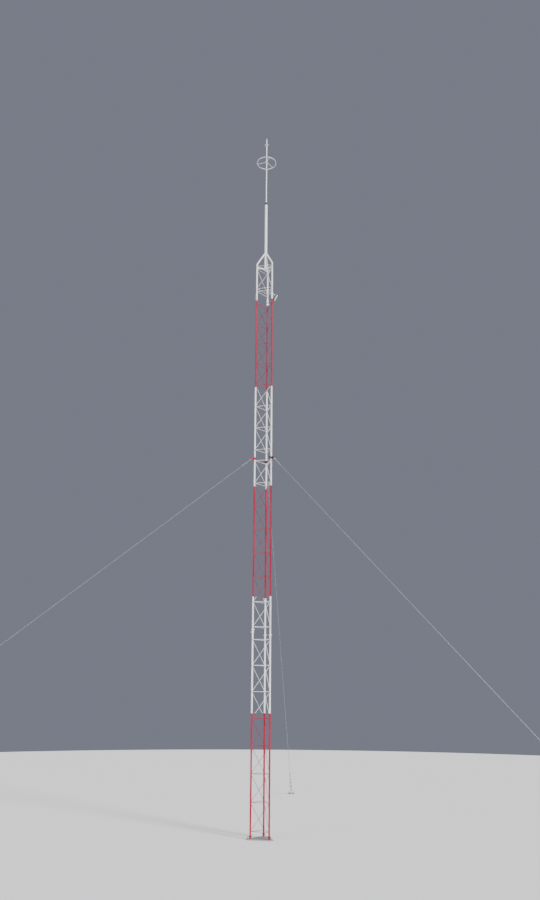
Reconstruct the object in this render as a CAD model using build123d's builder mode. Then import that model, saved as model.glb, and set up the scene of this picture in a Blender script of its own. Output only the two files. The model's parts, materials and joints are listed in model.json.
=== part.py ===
from build123d import *

import os
from math import cos, radians, sin, sqrt

# Guyed triangular lattice mast, in millimetres. The origin is on the underside of the
# base plate, on the mast's axis. Headings are degrees anticlockwise from +X, seen from above.

# Small gap between pieces that seat on each other across a curved face
seat_gap = 0.2

# Lattice sections, bolted end to end
face_width = 290.0
leg_diameter = 26.9
leg_wall = 2.3
section_height = 3000.0
section_names = ("lower", "middle", "upper")
brace_diameter = 6.4
brace_sides = 6
bay_count = 7
first_brace_height = 100.0
diagonal_weld_offset = 24.0
sleeve_wall = 2.4
sleeve_length = 90.0

# Base plate
plate_thickness = 12.0
plate_corner_radius = 62.0
peg_height = 70.0
peg_chamfer = 3.0
anchor_hole_diameter = 18.0
anchor_hole_offset = 38.0

# Top section, whose legs bend inwards to the pole
bend_height = 740.0
apex_height = 990.0
bend_radius = 70.0
foot_collar_diameter = 35.0
foot_collar_height = 110.0
top_low_brace_height = 172.0
top_low_pair_gap = 58.0
top_high_brace_height = 640.0
top_high_pair_gap = 60.0

# Pole and its seat
pole_diameter = 48.3
pole_wall = 3.2
pole_length = 1421.0
seat_wall = 5.0
seat_depth = 36.0
seat_floor = 6.0
seat_drain_diameter = 20.0
spoke_width = 6.0
spoke_height = 24.0

# Coupling and lightning rod
coupling_diameter = 48.0
coupling_height = 42.0
coupling_plug_depth = 35.0
coupling_socket_depth = 30.0
rod_diameter = 22.0
rod_upper_diameter = 20.0
rod_wall = 2.5
rod_length = 1362.0
rod_nut_flats = 32.0
rod_nut_height = 26.0
ring_height_on_rod = 939.0
ring_outer_diameter = 385.0
ring_tube_diameter = 20.0
ring_tube_sides = 12
ring_spoke_diameter = 12.0
ring_spoke_heading = 62.0
ring_hub_diameter = 40.0
ring_hub_height = 36.0
ring_hub_rise = 26.0
tip_disc_diameter = 72.0
tip_disc_thickness = 12.0
tip_shaft_diameter = 18.0
tip_shaft_height = 113.0
tip_point_height = 48.0
tip_plug_depth = 40.0

# Guys: each has a heading and a distance to its anchor, both from its own leg
guy_bracket_drop = 64.0
guy_headings = {"left": 210.0, "right": 330.0, "back": 97.5}
guy_distances = {"left": 6950.0, "right": 5820.0, "back": 5830.0}
cable_diameter = 6.4
cable_eye_thickness = 8.0
eye_inner_radius = 13.0
eye_sides = 8
bracket_wall = 6.0
bracket_height = 40.0
bracket_ear_turns = {"left": -90.0, "right": -90.0, "back": 90.0}
bracket_slit = 4.0
bracket_ear_length = 22.0
bracket_bolt_hole = 9.0
lug_hole_distance = 58.0
lug_hole_drop = 10.0
lug_thickness = 8.0
lug_edge_radius = 16.0
lug_hole_diameter = 18.0
turnbuckle_eye_thickness = 9.0
turnbuckle_stem_diameter = 8.0
turnbuckle_stem_length = 60.0
turnbuckle_body_length = 170.0
turnbuckle_body_width = 38.0
turnbuckle_body_thickness = 16.0
turnbuckle_rail = 8.0
turnbuckle_boss_length = 22.0
turnbuckle_stem_overrun = 26.0

# Ground anchors
anchor_disc_diameter = 160.0
anchor_disc_thickness = 12.0
anchor_bolt_circle_diameter = 116.0
anchor_bolt_count = 4
anchor_bolt_hole = 14.0
anchor_lug_height = 62.0
anchor_lug_foot = 90.0

# Small panel antenna beside the right leg, leaning out at its top
antenna_heading = 13.0
antenna_rise = 0.0
antenna_distance = 70.0
antenna_tilt = 27.0
antenna_length = 122.0
antenna_width = 52.0
antenna_depth = 14.0
antenna_corner = 7.0
antenna_bevel = 3.0
antenna_collar_height = 28.0
antenna_collar_drop = 72.0
antenna_clamp_rise = 88.0
antenna_spine_depth = 8.0
antenna_arm_thickness = 8.0
antenna_web_length = 66.0
antenna_strut_diameter = 8.0
antenna_strut_inset = 34.0
antenna_strut_nut_diameter = 24.0
antenna_strut_nut_length = 20.0

# Places worked out from the sizes above
leg_headings = {"left": 210.0, "right": 330.0, "back": 90.0}
leg_circle = face_width / sqrt(3)
leg_radius = leg_diameter / 2
bore_radius = leg_radius - leg_wall
cope_radius = leg_radius + seat_gap
bay_height = (section_height - 2 * first_brace_height) / bay_count
pole_radius = pole_diameter / 2
top_foot = plate_thickness + section_height * len(section_names)
spoke_level = top_foot + top_high_brace_height + top_high_pair_gap / 2
pole_foot = spoke_level - spoke_height / 2 + seat_floor
pole_top = pole_foot + pole_length
rod_foot = pole_top + coupling_height - coupling_socket_depth
rod_top = rod_foot + rod_length
lug_hole_radius = lug_hole_diameter / 2
guy_level = plate_thickness + 2 * section_height - guy_bracket_drop
antenna_level = top_foot + antenna_rise

os.makedirs("parts", exist_ok=True)


def save(piece, node):
    piece.part.label = node
    export_step(piece.part, f"parts/{node}.step")


def heading_vector(heading):
    return Vector(cos(radians(heading)), sin(radians(heading)), 0)


def leg_point(side, height=0.0):
    return heading_vector(leg_headings[side]) * leg_circle + Vector(0, 0, height)


def upright_plane(origin, heading):
    """Upright plane whose local X points along a heading and whose local Y is up."""
    across = heading_vector(heading - 90)
    return Plane(origin=origin, x_dir=heading_vector(heading), z_dir=across)


# Base plate with a peg for each leg
def make_base_plate():
    plate_corners = [leg_point(side) for side in leg_headings]
    hole_circle = leg_circle + anchor_hole_offset
    with BuildPart() as base_plate:
        with BuildSketch():
            with Locations(plate_corners):
                Circle(plate_corner_radius)
            make_hull()
            for heading in leg_headings.values():
                with Locations(heading_vector(heading) * hole_circle):
                    Circle(anchor_hole_diameter / 2, mode=Mode.SUBTRACT)
        extrude(amount=plate_thickness)
        with BuildSketch(Plane.XY.offset(plate_thickness)):
            with Locations(plate_corners):
                Circle(bore_radius - seat_gap)
        extrude(amount=peg_height)
        chamfer(base_plate.edges().filter_by(GeomType.CIRCLE).group_by(Axis.Z)[-1], length=peg_chamfer)
    save(base_plate, "base_plate")


# Straight leg tube with an inner sleeve that stands up into the tube above
def make_section_leg(side, section, foot):
    centre = leg_point(side)
    joint = foot + section_height
    with BuildPart() as leg:
        with BuildSketch(Plane.XY.offset(foot)):
            with Locations(centre):
                Circle(leg_radius)
                Circle(bore_radius, mode=Mode.SUBTRACT)
        extrude(amount=section_height)
        with BuildSketch(Plane.XY.offset(joint - sleeve_length)):
            with Locations(centre):
                Circle(bore_radius)
                Circle(bore_radius - sleeve_wall, mode=Mode.SUBTRACT)
        extrude(amount=sleeve_length)
        with BuildSketch(Plane.XY.offset(joint)):
            with Locations(centre):
                Circle(bore_radius - seat_gap)
                Circle(bore_radius - sleeve_wall, mode=Mode.SUBTRACT)
        extrude(amount=sleeve_length)
    save(leg, f"{side}_leg_{section}")


def face_rods(low_side, high_side, foot, levels, climbs):
    """Start and end of each rod in one flat face, run on to the legs' axes: a horizontal at
    each level, and a diagonal for each climb, a pair of heights where it meets the legs."""
    low_leg = leg_point(low_side, foot)
    across = leg_point(high_side, foot) - low_leg
    up = Vector(0, 0, 1)
    rods = [(low_leg + up * level, low_leg + across + up * level) for level in levels]
    for start_height, end_height in climbs:
        slope = (end_height - start_height) / (face_width - 2 * cope_radius)
        run_on = slope * cope_radius
        start = low_leg + up * (start_height - run_on)
        end = low_leg + across + up * (end_height + run_on)
        rods.append((start, end))
    return rods


def make_bracing(node, low_side, high_side, foot, levels, climbs):
    """Flat face of the lattice: rods welded into one piece, cut flat against the legs."""
    rods = face_rods(low_side, high_side, foot, levels, climbs)
    low_leg = leg_point(low_side)
    across = leg_point(high_side) - low_leg
    outward = across.cross(Vector(0, 0, 1))
    middle = low_leg + across * 0.5 + Vector(0, 0, foot + (levels[0] + levels[-1]) / 2)
    clear_height = levels[-1] - levels[0] + 2 * brace_diameter
    with BuildPart() as face:
        for start, end in rods:
            run = end - start
            with BuildSketch(Plane(origin=start, x_dir=outward, z_dir=run)):
                RegularPolygon(brace_diameter / 2, brace_sides)
            extrude(amount=run.length)
        with BuildSketch(Plane(origin=middle, x_dir=across, z_dir=outward)):
            Rectangle(face_width - 2 * cope_radius, clear_height)
        extrude(amount=brace_diameter, both=True, mode=Mode.INTERSECT)
    save(face, node)


# Each face is named for the side it looks to, and its diagonals climb from the first leg
# to the second, to the right seen from outside
faces = {"front": ("left", "right"), "right": ("right", "back"), "left": ("back", "left")}


def make_section(section, foot):
    for side in leg_headings:
        make_section_leg(side, section, foot)
    levels = [first_brace_height + bay_height * bay for bay in range(bay_count + 1)]
    climbs = [(low + diagonal_weld_offset, high - diagonal_weld_offset)
              for low, high in zip(levels, levels[1:])]
    for name, (low_side, high_side) in faces.items():
        make_bracing(f"{name}_bracing_{section}", low_side, high_side, foot, levels, climbs)


# Top leg: upright from a collared foot, then bent inwards and coped to the pole
def make_top_leg(side):
    heading = leg_headings[side]
    centre = leg_point(side)
    pole_edge = pole_radius / 3
    with BuildPart() as top_leg:
        with BuildLine(upright_plane((0, 0, top_foot), heading)):
            FilletPolyline(
                (leg_circle, 0),
                (leg_circle, bend_height),
                (pole_edge, apex_height + pole_radius),
                radius=bend_radius,
            )
        with BuildSketch(Plane.XY.offset(top_foot)):
            with Locations(centre):
                Circle(leg_radius)
                Circle(bore_radius, mode=Mode.SUBTRACT)
        sweep()
        with BuildSketch(Plane.XY.offset(top_foot)):
            with Locations(centre):
                Circle(foot_collar_diameter / 2)
                Circle(leg_radius, mode=Mode.SUBTRACT)
        extrude(amount=foot_collar_height)
        with Locations((0, 0, pole_foot)):
            Cylinder(
                pole_radius + seat_gap,
                pole_length,
                align=(Align.CENTER, Align.CENTER, Align.MIN),
                mode=Mode.SUBTRACT,
            )
    save(top_leg, f"{side}_top_leg")


def make_top_bracing():
    top_levels = [
        top_low_brace_height,
        top_low_brace_height + top_low_pair_gap,
        top_high_brace_height,
        top_high_brace_height + top_high_pair_gap,
    ]
    climbs = [(top_levels[1] + diagonal_weld_offset, top_levels[2] - diagonal_weld_offset)]
    for name, (low_side, high_side) in faces.items():
        make_bracing(f"{name}_bracing_top", low_side, high_side, top_foot, top_levels, climbs)


# Socket that the pole stands in, held by a flat spoke from each leg
def make_pole_seat():
    seat_radius = pole_radius + seat_gap + seat_wall
    with BuildPart() as pole_seat:
        with BuildSketch(Plane.XY.offset(pole_foot - seat_floor)):
            Circle(seat_radius)
        extrude(amount=seat_floor + seat_depth)
        for heading in leg_headings.values():
            spoke = Plane(
                origin=(0, 0, spoke_level),
                x_dir=heading_vector(heading - 90),
                z_dir=heading_vector(heading),
            )
            with BuildSketch(spoke):
                Rectangle(spoke_width, spoke_height)
            extrude(amount=leg_circle - cope_radius)
        with BuildSketch(Plane.XY.offset(pole_foot)):
            Circle(pole_radius + seat_gap)
        extrude(amount=seat_depth, mode=Mode.SUBTRACT)
        with BuildSketch(Plane.XY.offset(pole_foot - seat_floor)):
            Circle(seat_drain_diameter / 2)
        extrude(amount=seat_floor, mode=Mode.SUBTRACT)
    save(pole_seat, "pole_seat")


def make_pole():
    with BuildPart() as pole:
        with BuildSketch(Plane.XY.offset(pole_foot)):
            Circle(pole_radius)
            Circle(pole_radius - pole_wall, mode=Mode.SUBTRACT)
        extrude(amount=pole_length)
    save(pole, "pole")


# Insulating coupling: a stepped plug in the pole's mouth with a socket for the rod
def make_coupling():
    plug_radius = pole_radius - pole_wall - seat_gap
    head_radius = coupling_diameter / 2
    neck_radius = head_radius * 0.8
    socket_radius = rod_diameter / 2 + seat_gap
    head = pole_top + coupling_height
    with BuildPart() as coupling:
        with BuildSketch(Plane.XZ):
            with BuildLine():
                Polyline(
                    (0, pole_top - coupling_plug_depth),
                    (plug_radius, pole_top - coupling_plug_depth),
                    (plug_radius, pole_top),
                    (head_radius, pole_top),
                    (head_radius, pole_top + coupling_height * 0.6),
                    (neck_radius, head),
                    (socket_radius, head),
                    (socket_radius, rod_foot),
                    (0, rod_foot),
                    close=True,
                )
            make_face()
        revolve(axis=Axis.Z)
    save(coupling, "coupling")


# Rod tube with a hexagon collar that rests on the coupling, drawn thinner above the ring
def make_lightning_rod():
    low_radius = rod_diameter / 2
    high_radius = rod_upper_diameter / 2
    neck = rod_foot + ring_height_on_rod + ring_hub_rise + ring_hub_height
    neck_end = neck + rod_diameter
    with BuildPart() as lightning_rod:
        with BuildSketch(Plane.XY.offset(pole_top + coupling_height)):
            RegularPolygon(rod_nut_flats / 2, 6, major_radius=False)
        extrude(amount=rod_nut_height)
        with BuildSketch(Plane.XZ):
            with BuildLine():
                Polyline(
                    (0, rod_foot),
                    (low_radius, rod_foot),
                    (low_radius, neck),
                    (high_radius, neck_end),
                    (high_radius, rod_top),
                    (0, rod_top),
                    close=True,
                )
            make_face()
        revolve(axis=Axis.Z)
        with BuildSketch(Plane.XZ):
            with BuildLine():
                Polyline(
                    (0, rod_foot),
                    (low_radius - rod_wall, rod_foot),
                    (low_radius - rod_wall, neck),
                    (high_radius - rod_wall, neck_end),
                    (high_radius - rod_wall, rod_top),
                    (0, rod_top),
                    close=True,
                )
            make_face()
        revolve(axis=Axis.Z, mode=Mode.SUBTRACT)
    save(lightning_rod, "lightning_rod")


# Crown ring: a tube ring on three spokes that slope down from a hub clamped on the rod
def make_crown_ring():
    level = rod_foot + ring_height_on_rod
    ring_radius = (ring_outer_diameter - ring_tube_diameter) / 2
    hub_bore = rod_diameter / 2 + seat_gap
    hub_middle = Vector(0, 0, level + ring_hub_rise)
    with BuildPart() as crown_ring:
        with BuildSketch(Plane.XZ):
            with Locations((ring_radius, level)):
                RegularPolygon(ring_tube_diameter / 2, ring_tube_sides)
        revolve(axis=Axis.Z)
        with Locations(hub_middle):
            Cylinder(ring_hub_diameter / 2, ring_hub_height)
        for turn in range(3):
            out = heading_vector(ring_spoke_heading + 120 * turn)
            run = out * ring_radius + Vector(0, 0, level) - hub_middle
            with BuildSketch(Plane(origin=hub_middle, z_dir=run)):
                Circle(ring_spoke_diameter / 2)
            extrude(amount=run.length)
        with Locations(hub_middle):
            Cylinder(hub_bore, ring_hub_height * 2, mode=Mode.SUBTRACT)
    save(crown_ring, "crown_ring")


# Rod tip: a plug in the rod, a flat disc, a thinner shaft and a ground point
def make_rod_tip():
    plug_radius = rod_upper_diameter / 2 - rod_wall - seat_gap
    disc_top = rod_top + tip_disc_thickness
    point_foot = disc_top + tip_shaft_height
    with BuildPart() as rod_tip:
        with BuildSketch(Plane.XZ):
            with BuildLine():
                Polyline(
                    (0, rod_top - tip_plug_depth),
                    (plug_radius, rod_top - tip_plug_depth),
                    (plug_radius, rod_top),
                    (tip_disc_diameter / 2, rod_top),
                    (tip_disc_diameter / 2, rod_top + tip_disc_thickness / 2),
                    (tip_shaft_diameter / 2, disc_top),
                    (tip_shaft_diameter / 2, point_foot),
                    (0, point_foot + tip_point_height),
                    close=True,
                )
            make_face()
        revolve(axis=Axis.Z)
    save(rod_tip, "rod_tip")


# Guy hardware. Each guy runs straight from its bracket's hole to its anchor's hole, in an
# upright plane through its leg. In that plane X is the distance from the leg, Y the height.
anchor_hole_height = anchor_disc_thickness + anchor_lug_height
cable_eye_radius = eye_inner_radius + cable_eye_thickness / 2
hook_eye_radius = eye_inner_radius + turnbuckle_eye_thickness / 2
turnbuckle_length = 2 * (hook_eye_radius + turnbuckle_stem_length) + turnbuckle_body_length

# From a lug's hole to the middle of the eye that pulls on it, and between two linked eyes
eye_pull_radius = eye_inner_radius - seat_gap
eye_lug_distance = lug_hole_radius + sqrt(eye_pull_radius**2 - (lug_thickness / 2) ** 2)
eye_link_distance = 2 * eye_inner_radius - seat_gap


def guy_plane(side):
    return upright_plane(leg_point(side), guy_headings[side])


def guy_stations(side):
    """The guy's direction and the centres of its eyes, from the bracket to the anchor."""
    plane = guy_plane(side)
    high = plane.from_local_coords(Vector(lug_hole_distance, guy_level - lug_hole_drop, 0))
    low = plane.from_local_coords(Vector(guy_distances[side], anchor_hole_height, 0))
    down = (low - high).normalized()
    cable_top = high + down * eye_lug_distance
    hook_low = low - down * eye_lug_distance
    hook_high = hook_low - down * turnbuckle_length
    cable_low = hook_high - down * eye_link_distance
    return down, cable_top, cable_low, hook_high, hook_low


# Clamp round the leg: a slit collar with two ears at one side and a lug for the guy in front
def make_guy_bracket(side):
    plane = guy_plane(side)
    ear_plane = upright_plane(leg_point(side), guy_headings[side] + bracket_ear_turns[side])
    collar_radius = cope_radius + bracket_wall
    collar_middle = leg_point(side, guy_level)
    ear_end = collar_radius + bracket_ear_length
    ear_middle = ((cope_radius + ear_end) / 2, guy_level)
    bolt_place = (collar_radius + bracket_ear_length / 2, guy_level)
    with BuildPart() as bracket:
        with Locations(collar_middle):
            Cylinder(collar_radius, bracket_height)
        with BuildSketch(plane):
            with Locations((lug_hole_distance, guy_level - lug_hole_drop)):
                Circle(lug_edge_radius)
            with Locations((collar_radius, guy_level)):
                Rectangle(bracket_wall, bracket_height - bracket_wall)
            make_hull()
            with Locations((lug_hole_distance, guy_level - lug_hole_drop)):
                Circle(lug_hole_radius, mode=Mode.SUBTRACT)
        extrude(amount=lug_thickness / 2, both=True)
        with BuildSketch(ear_plane):
            with Locations(ear_middle):
                Rectangle(ear_end - cope_radius, bracket_height)
        extrude(amount=bracket_slit / 2 + bracket_wall, both=True)
        with BuildSketch(ear_plane):
            with Locations(ear_middle):
                Rectangle(ear_end - cope_radius + bracket_wall, bracket_height * 2)
        extrude(amount=bracket_slit / 2, both=True, mode=Mode.SUBTRACT)
        with BuildSketch(ear_plane):
            with Locations(bolt_place):
                Circle(bracket_bolt_hole / 2)
        extrude(amount=collar_radius, both=True, mode=Mode.SUBTRACT)
        with Locations(collar_middle):
            Cylinder(cope_radius, bracket_height * 2, mode=Mode.SUBTRACT)
    save(bracket, f"{side}_guy_bracket")


# Guy cable with an eye at each end: the upper one through the bracket's hole, the lower
# one through the turnbuckle's eye
def make_guy(side):
    down, cable_top, cable_low, hook_high, hook_low = guy_stations(side)
    across = guy_plane(side).z_dir
    over = down.cross(across)
    start = cable_top + down * cable_eye_radius
    length = (cable_low - cable_top).length - 2 * cable_eye_radius
    with BuildPart() as guy:
        with BuildSketch(Plane(origin=start, z_dir=down)):
            Circle(cable_diameter / 2)
        extrude(amount=length)
        for middle, edge, axis in ((cable_top, across, over), (cable_low, over, across)):
            with BuildSketch(Plane(origin=middle, x_dir=edge, z_dir=edge.cross(axis))):
                with Locations((cable_eye_radius, 0)):
                    RegularPolygon(cable_eye_thickness / 2, eye_sides)
            revolve(axis=Axis(middle, axis))
    save(guy, f"{side}_guy")


# Turnbuckle: an open body between two stems, each with an eye
def make_turnbuckle(side):
    down, cable_top, cable_low, hook_high, hook_low = guy_stations(side)
    across = guy_plane(side).z_dir
    over = down.cross(across)
    middle = (hook_high + hook_low) * 0.5
    window_length = turnbuckle_body_length - 2 * turnbuckle_boss_length
    window_width = turnbuckle_body_width - 2 * turnbuckle_rail
    stem_start = window_length / 2 - turnbuckle_stem_overrun
    stem_end = turnbuckle_length / 2 - hook_eye_radius
    with BuildPart() as turnbuckle:
        with BuildSketch(Plane(origin=middle, x_dir=down, z_dir=over)):
            SlotOverall(turnbuckle_body_length, turnbuckle_body_width)
            SlotOverall(window_length, window_width, mode=Mode.SUBTRACT)
        extrude(amount=turnbuckle_body_thickness / 2, both=True)
        for way in (down, down * -1):
            with BuildSketch(Plane(origin=middle + way * stem_start, z_dir=way)):
                Circle(turnbuckle_stem_diameter / 2)
            extrude(amount=stem_end - stem_start)
        for eye_middle in (hook_high, hook_low):
            with BuildSketch(Plane(origin=eye_middle, x_dir=across, z_dir=across.cross(over))):
                with Locations((hook_eye_radius, 0)):
                    RegularPolygon(turnbuckle_eye_thickness / 2, eye_sides)
            revolve(axis=Axis(eye_middle, over))
    save(turnbuckle, f"{side}_turnbuckle")


# Ground anchor: a bolted disc with an upright lug
def make_anchor(side):
    distance = guy_distances[side]
    foot = leg_point(side) + heading_vector(guy_headings[side]) * distance
    with BuildPart() as anchor:
        with BuildSketch(Plane(origin=foot)):
            Circle(anchor_disc_diameter / 2)
            with PolarLocations(anchor_bolt_circle_diameter / 2, anchor_bolt_count, 45):
                Circle(anchor_bolt_hole / 2, mode=Mode.SUBTRACT)
        extrude(amount=anchor_disc_thickness)
        with BuildSketch(guy_plane(side)):
            with Locations((distance, anchor_hole_height)):
                Circle(lug_edge_radius)
            with Locations((distance, anchor_disc_thickness)):
                Rectangle(anchor_lug_foot, bracket_wall, align=(Align.CENTER, Align.MIN))
            make_hull()
            with Locations((distance, anchor_hole_height)):
                Circle(lug_hole_radius, mode=Mode.SUBTRACT)
        extrude(amount=lug_thickness / 2, both=True)
    save(anchor, f"{side}_anchor")


# Small panel antenna, leaning out at its top, on an arm clamped to the right leg. In the
# plane through both, X is the distance from the leg and Y the height.
antenna_lean = radians(antenna_tilt)
antenna_plane = upright_plane(leg_point("right"), antenna_heading)


def antenna_point(depth, rise):
    """A place on the antenna's mid-plane, in front of its back face and along its height."""
    inset = depth - antenna_depth / 2
    distance = antenna_distance + inset * cos(antenna_lean) + rise * sin(antenna_lean)
    height = antenna_level - inset * sin(antenna_lean) + rise * cos(antenna_lean)
    return Vector(distance, height, 0)


def antenna_face(depth):
    """Plane along the panel at a depth in front of its back, facing out."""
    origin = antenna_plane.from_local_coords(antenna_point(depth, 0))
    forward = antenna_plane.from_local_coords(antenna_point(depth + 1, 0)) - origin
    return Plane(origin=origin, x_dir=antenna_plane.z_dir, z_dir=forward)


def make_panel_antenna():
    back = antenna_face(0)
    with BuildPart() as panel:
        with BuildSketch(back):
            RectangleRounded(antenna_width, antenna_length, antenna_corner)
        extrude(amount=antenna_depth)
        front = panel.faces().sort_by(Axis(back.origin, back.z_dir))[-1]
        chamfer(front.edges(), length=antenna_bevel)
    save(panel, "panel_antenna")


# Bracket: a clamp on the joint's collar and one on the leg below it, joined by a spine, with
# a web behind the panel's lower half and a strut with an adjusting nut behind its top
def make_antenna_bracket():
    low_bore = cope_radius
    high_bore = foot_collar_diameter / 2 + seat_gap
    low_level = antenna_level - antenna_collar_drop
    high_level = antenna_level + antenna_clamp_rise
    spine_middle = (high_bore + antenna_spine_depth / 2, (low_level + high_level) / 2)
    spine_height = high_level - low_level + antenna_collar_height
    strut_start = antenna_plane.from_local_coords(Vector(high_bore, high_level, 0))
    strut_rise = antenna_length / 2 - antenna_strut_inset
    strut_end = antenna_plane.from_local_coords(antenna_point(-seat_gap, strut_rise))
    strut_run = strut_end - strut_start
    foot = -antenna_length / 2
    web_top = antenna_point(-seat_gap, foot + antenna_web_length)
    with BuildPart() as bracket:
        for level, bore in ((low_level, low_bore), (high_level, high_bore)):
            with Locations(leg_point("right", level)):
                Cylinder(bore + bracket_wall, antenna_collar_height)
        with BuildSketch(antenna_plane):
            with Locations(spine_middle):
                Rectangle(antenna_spine_depth, spine_height)
            with BuildLine():
                Polyline(
                    (high_bore, low_level - antenna_collar_height / 2),
                    (high_bore, web_top.Y),
                    web_top,
                    antenna_point(-seat_gap, foot),
                    close=True,
                )
            make_face()
        extrude(amount=antenna_arm_thickness / 2, both=True)
        with BuildSketch(Plane(origin=strut_start, z_dir=strut_run)):
            Circle(antenna_strut_diameter / 2)
        extrude(amount=strut_run.length + antenna_depth / 2)
        with BuildSketch(Plane(origin=strut_start + strut_run * 0.3, z_dir=strut_run)):
            RegularPolygon(antenna_strut_nut_diameter / 2, 6)
        extrude(amount=antenna_strut_nut_length)
        for level, bore in ((low_level, low_bore), (high_level, high_bore)):
            with Locations(leg_point("right", level)):
                Cylinder(bore, antenna_collar_height * 2, mode=Mode.SUBTRACT)
        with BuildSketch(antenna_face(-seat_gap)):
            Rectangle(antenna_width, antenna_length)
        extrude(amount=antenna_depth, mode=Mode.SUBTRACT)
    save(bracket, "antenna_bracket")


make_base_plate()
for index, section in enumerate(section_names):
    make_section(section, plate_thickness + section_height * index)
for side in leg_headings:
    make_top_leg(side)
make_top_bracing()
make_pole_seat()
make_pole()
make_coupling()
make_lightning_rod()
make_crown_ring()
make_rod_tip()
for side in leg_headings:
    make_guy_bracket(side)
    make_guy(side)
    make_turnbuckle(side)
    make_anchor(side)
make_antenna_bracket()
make_panel_antenna()
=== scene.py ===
import json
import math
import random

import bpy
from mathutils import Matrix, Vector


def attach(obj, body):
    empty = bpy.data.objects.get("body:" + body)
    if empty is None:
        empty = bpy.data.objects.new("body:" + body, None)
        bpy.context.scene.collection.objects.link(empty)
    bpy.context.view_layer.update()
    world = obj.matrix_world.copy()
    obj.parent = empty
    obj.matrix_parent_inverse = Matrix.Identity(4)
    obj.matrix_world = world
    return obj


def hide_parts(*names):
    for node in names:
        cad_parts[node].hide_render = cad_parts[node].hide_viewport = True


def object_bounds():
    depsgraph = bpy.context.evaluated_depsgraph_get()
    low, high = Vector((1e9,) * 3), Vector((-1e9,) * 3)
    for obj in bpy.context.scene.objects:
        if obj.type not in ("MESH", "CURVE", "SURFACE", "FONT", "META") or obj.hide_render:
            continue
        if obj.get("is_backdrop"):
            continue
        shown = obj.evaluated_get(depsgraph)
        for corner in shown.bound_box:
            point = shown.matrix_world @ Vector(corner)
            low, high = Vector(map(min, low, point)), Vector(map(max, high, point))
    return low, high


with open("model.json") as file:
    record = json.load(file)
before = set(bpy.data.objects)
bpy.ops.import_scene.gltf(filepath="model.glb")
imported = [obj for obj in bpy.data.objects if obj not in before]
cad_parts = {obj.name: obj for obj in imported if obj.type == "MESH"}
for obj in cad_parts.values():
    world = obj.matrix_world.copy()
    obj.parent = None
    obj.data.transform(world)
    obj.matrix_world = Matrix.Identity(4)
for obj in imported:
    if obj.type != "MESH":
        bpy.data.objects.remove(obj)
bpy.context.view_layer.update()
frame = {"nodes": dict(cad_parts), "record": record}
nodes = frame["nodes"]
rng = random.Random(7)

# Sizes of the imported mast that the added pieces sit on, in metres
SEAT_GAP = 0.0002
PLATE = 0.012
FACE = 0.290
LEG_CIRCLE = FACE / math.sqrt(3)
LEG_RADIUS = 0.01345
COPE_RADIUS = LEG_RADIUS + SEAT_GAP
COLLAR_RADIUS = 0.0175
SECTION = 3.0
TOP_FOOT = PLATE + 3 * SECTION
FIRST_LEVEL = 0.1
BAY = 0.4
BAYS = 7
TOP_LEVELS = (0.172, 0.230, 0.640, 0.700)
DIAGONAL_OFFSET = 0.024
ROD_RADIUS = 0.0032
BAND_EDGES = (1.79, 3.59, 5.455, 7.27, 8.997)
BRACKET_WALL = 0.006
# Height over the top joint and bore of each clamp of the antenna
ANTENNA_CLAMPS = ((-0.072, COPE_RADIUS), (0.088, COLLAR_RADIUS + SEAT_GAP))
CLAMP_HALF = 0.014
LEG_HEADINGS = {"left": 210.0, "right": 330.0, "back": 90.0}
# The legs of the front, right and left face: each diagonal climbs from the first to the second
FACES = (("left", "right"), ("right", "back"), ("back", "left"))
GUY_HEADINGS = {"left": 210.0, "right": 330.0, "back": 97.5}
GUY_DISTANCES = {"left": 6.950, "right": 5.820, "back": 5.830}
GUY_LEVEL = PLATE + 2 * SECTION - 0.064
EAR_TURNS = {"left": -90, "right": -90, "back": 90}
LUG_HALF = 0.004
ANCHOR_DISC = 0.012
UP = Vector((0, 0, 1))


def heading(angle):
    a = math.radians(angle)
    return Vector((math.cos(a), math.sin(a), 0))


def leg(side, height=0.0):
    return heading(LEG_HEADINGS[side]) * LEG_CIRCLE + UP * height


# Camera at the photograph's place and angle
CAMERA_LENS = 31.2
CAMERA_SENSOR = 36.0
CAMERA_NEAR = 0.05
CAMERA_FAR = 400.0
CAMERA_DISTANCE = 12.9
CAMERA_HEIGHT = 1.991
CAMERA_AZIMUTH = math.radians(13.647)
CAMERA_TURN = math.radians(0.446)
CAMERA_PITCH = math.radians(17.758)
CAMERA_ROLL = math.radians(0.341)


def make_camera():
    data = bpy.data.cameras.new("camera")
    data.lens = CAMERA_LENS
    data.sensor_width = CAMERA_SENSOR
    data.clip_start = CAMERA_NEAR
    data.clip_end = CAMERA_FAR
    camera = bpy.data.objects.new("camera", data)
    bpy.context.scene.collection.objects.link(camera)
    camera.location = (
        math.sin(CAMERA_AZIMUTH) * CAMERA_DISTANCE,
        -math.cos(CAMERA_AZIMUTH) * CAMERA_DISTANCE,
        CAMERA_HEIGHT,
    )
    a = CAMERA_AZIMUTH - CAMERA_TURN
    p = CAMERA_PITCH
    forward = Vector((-math.sin(a) * math.cos(p), math.cos(a) * math.cos(p), math.sin(p)))
    right = Vector((math.cos(a), math.sin(a), 0))
    up = right.cross(forward)
    c, s = math.cos(CAMERA_ROLL), math.sin(CAMERA_ROLL)
    right, up = right * c + up * s, up * c - right * s
    matrix = camera.matrix_world.copy().to_3x3()
    for column, axis in enumerate((right, up, -forward)):
        for row in range(3):
            matrix[row][column] = axis[row]
    camera.rotation_mode = "QUATERNION"
    camera.rotation_quaternion = matrix.to_quaternion()
    bpy.context.scene.camera = camera


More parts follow.
